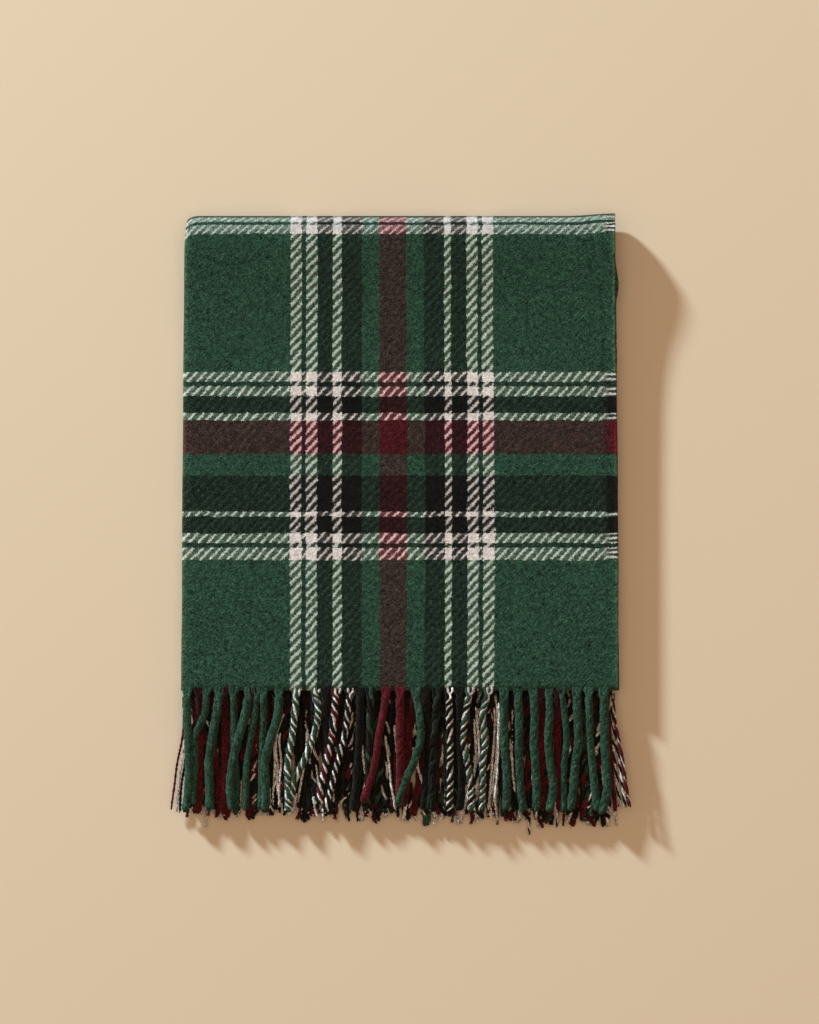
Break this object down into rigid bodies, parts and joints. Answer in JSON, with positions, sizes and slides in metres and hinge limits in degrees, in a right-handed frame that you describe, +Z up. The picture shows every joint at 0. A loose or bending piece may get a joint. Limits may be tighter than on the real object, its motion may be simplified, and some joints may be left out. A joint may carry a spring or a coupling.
{
  "type": "folded blanket scarf",
  "caption": "Tartan wool blanket scarf, folded into a flat pile, with twisted fringe lying out in front of it.",
  "frame": {"origin": "on the resting surface, under the middle of the bounding box", "axes": "+Y from the fringe towards the round back fold, +Z up, +X towards the selvedges"},
  "size_m": [0.368, 0.49, 0.0276],
  "materials": {
    "tartan_cloth": "soft brushed wool twill in green, black, burgundy and cream tartan",
    "fringe_yarn": "twisted wool yarn in the cloth's own colours"
  },
  "bodies": {
    "root": {"outer_stretch": "tartan_cloth", "folded_inside": "tartan_cloth", "fringe_first_end": "fringe_yarn", "fringe_second_end": "fringe_yarn"}
  },
  "joints": []
}
